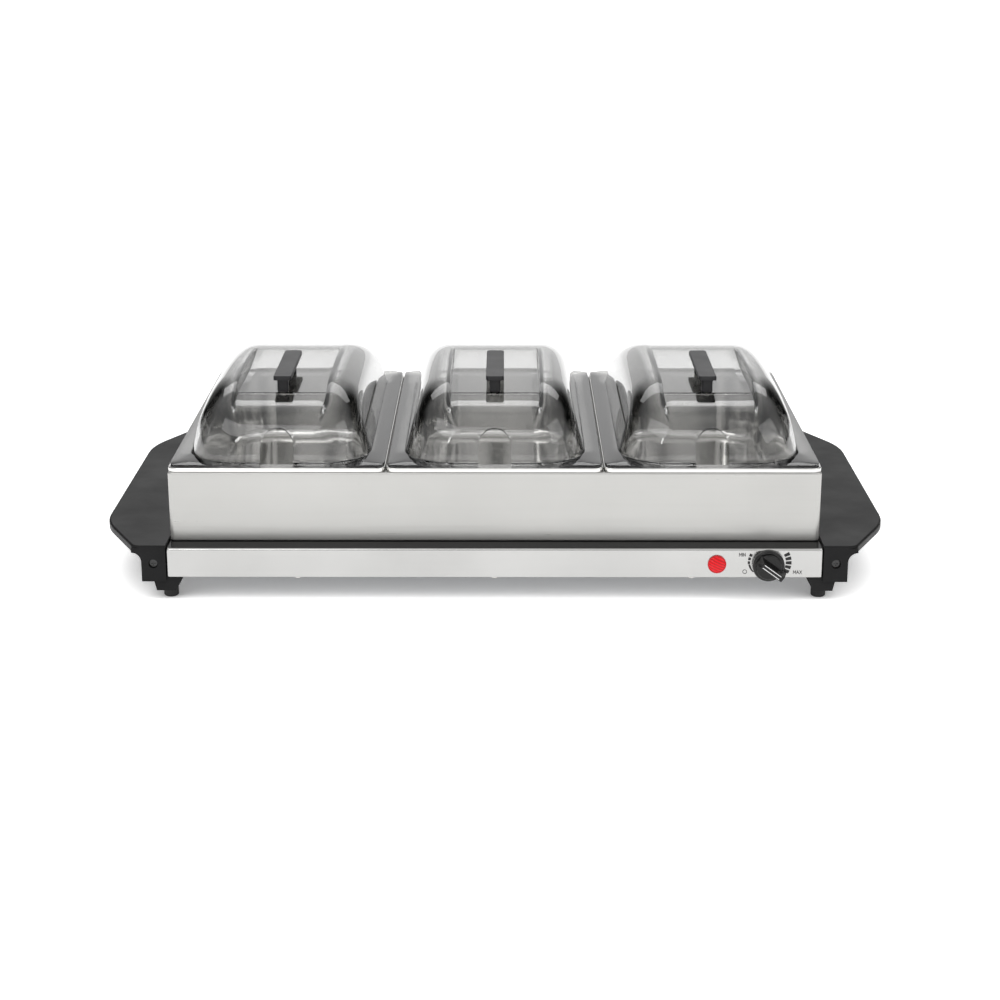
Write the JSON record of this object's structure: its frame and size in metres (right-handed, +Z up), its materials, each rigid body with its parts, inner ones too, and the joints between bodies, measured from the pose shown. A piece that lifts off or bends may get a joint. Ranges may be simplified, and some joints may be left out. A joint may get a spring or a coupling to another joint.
{
  "type": "electric buffet server",
  "caption": "Electric warming tray with side handles and a dial, carrying a lift-off steel frame of food pans under clear domed lids.",
  "frame": {"origin": "on the standing surface, at the middle of the overall box in plan", "axes": "+Z up, front with the dial towards -Y, +X to the right as seen from the front"},
  "size_m": [0.627, 0.394, 0.16],
  "materials": {
    "brushed_steel": "satin brushed stainless sheet",
    "plated_steel": "galvanised sheet",
    "zinc_fasteners": "zinc plated",
    "handle_plastic": "satin moulded black plastic",
    "foot_rubber": "matt black rubber",
    "heater_silicone": "silicone jacketed heater cord",
    "foil": "bright foil",
    "insulation": "ceramic fibre felt",
    "phenolic": "moulded phenolic",
    "knob_plastic": "semi gloss black",
    "pointer_grey": "light grey line",
    "dial_ink": "printed ink",
    "red_lens": "translucent red",
    "nut_nylon": "natural nylon",
    "lamp_glass": "clear glass",
    "gland_plastic": "black nylon",
    "lead_brown": "insulated wire",
    "lead_blue": "insulated wire",
    "lead_green": "insulated wire",
    "cutoff_case": "can",
    "frame_steel": "fine brushed stainless sheet",
    "frame_inner_steel": "plain stainless sheet",
    "rivet_steel": "stainless rivets",
    "pan_steel": "polished stainless pan",
    "clear_lid": "clear polycarbonate",
    "grip_plastic": "satin black plastic",
    "lid_fasteners": "stainless"
  },
  "bodies": {
    "warming_tray": {"tray_shell": "brushed_steel", "bottom_cover": "plated_steel", "cover_screws": "zinc_fasteners", "handle_right": "handle_plastic", "handle_left": "handle_plastic", "handle_end_screws": "zinc_fasteners", "handle_side_screws": "zinc_fasteners", "rubber_foot_front_left": "foot_rubber", "rubber_foot_front_right": "foot_rubber", "rubber_foot_rear_left": "foot_rubber", "rubber_foot_rear_right": "foot_rubber", "heater_cord": "heater_silicone", "heater_foil": "foil", "insulation_pad": "insulation", "retainer_plate": "plated_steel", "heater_studs": "zinc_fasteners", "stud_nuts": "zinc_fasteners", "thermostat_body": "phenolic", "thermostat_bracket": "plated_steel", "thermostat_nut": "zinc_fasteners", "dial_marks": "dial_ink", "indicator_lens": "red_lens", "lamp_nut": "nut_nylon", "neon_lamp": "lamp_glass", "cord_gland": "gland_plastic", "terminal_block": "phenolic", "terminal_screws": "zinc_fasteners", "live_lead": "lead_brown", "neutral_lead": "lead_blue", "earth_lead": "lead_green", "earth_lug": "zinc_fasteners", "thermal_cutoff": "cutoff_case"},
    "control_knob": {"knob_body": "knob_plastic", "knob_pointer": "pointer_grey", "thermostat_spindle": "zinc_fasteners"},
    "buffet_frame": {"frame_front_half": "frame_steel", "frame_rear_half": "frame_steel", "crossbar_left": "frame_inner_steel", "crossbar_right": "frame_inner_steel", "crossbar_rivets": "rivet_steel", "seam_plates": "frame_inner_steel", "seam_rivets": "rivet_steel"},
    "food_pan_left": {"pan_left": "pan_steel"},
    "lid_left": {"lid_dome_left": "clear_lid", "lid_grip_left": "grip_plastic", "lid_screws_left": "lid_fasteners", "lid_washers_left": "lid_fasteners"},
    "food_pan_middle": {"pan_middle": "pan_steel"},
    "lid_middle": {"lid_dome_middle": "clear_lid", "lid_grip_middle": "grip_plastic", "lid_screws_middle": "lid_fasteners", "lid_washers_middle": "lid_fasteners"},
    "food_pan_right": {"pan_right": "pan_steel"},
    "lid_right": {"lid_dome_right": "clear_lid", "lid_grip_right": "grip_plastic", "lid_screws_right": "lid_fasteners", "lid_washers_right": "lid_fasteners"}
  },
  "joints": [
    {"name": "knob_turn", "type": "hinge", "parent": "warming_tray", "child": "control_knob", "pos_m": [0.2128, -0.179, 0.0301], "axis": [0, -1, 0], "range_deg": [0, 250]},
    {"name": "frame_lift", "type": "slide", "parent": "warming_tray", "child": "buffet_frame", "axis": [0, 0, 1], "range_m": [0, 0.08]},
    {"name": "pan_left_lift", "type": "slide", "parent": "buffet_frame", "child": "food_pan_left", "axis": [0, 0, 1], "range_m": [0, 0.09]},
    {"name": "lid_left_lift", "type": "slide", "parent": "food_pan_left", "child": "lid_left", "axis": [0, 0, 1], "range_m": [0, 0.1]},
    {"name": "pan_middle_lift", "type": "slide", "parent": "buffet_frame", "child": "food_pan_middle", "axis": [0, 0, 1], "range_m": [0, 0.09]},
    {"name": "lid_middle_lift", "type": "slide", "parent": "food_pan_middle", "child": "lid_middle", "axis": [0, 0, 1], "range_m": [0, 0.1]},
    {"name": "pan_right_lift", "type": "slide", "parent": "buffet_frame", "child": "food_pan_right", "axis": [0, 0, 1], "range_m": [0, 0.09]},
    {"name": "lid_right_lift", "type": "slide", "parent": "food_pan_right", "child": "lid_right", "axis": [0, 0, 1], "range_m": [0, 0.1]}
  ]
}
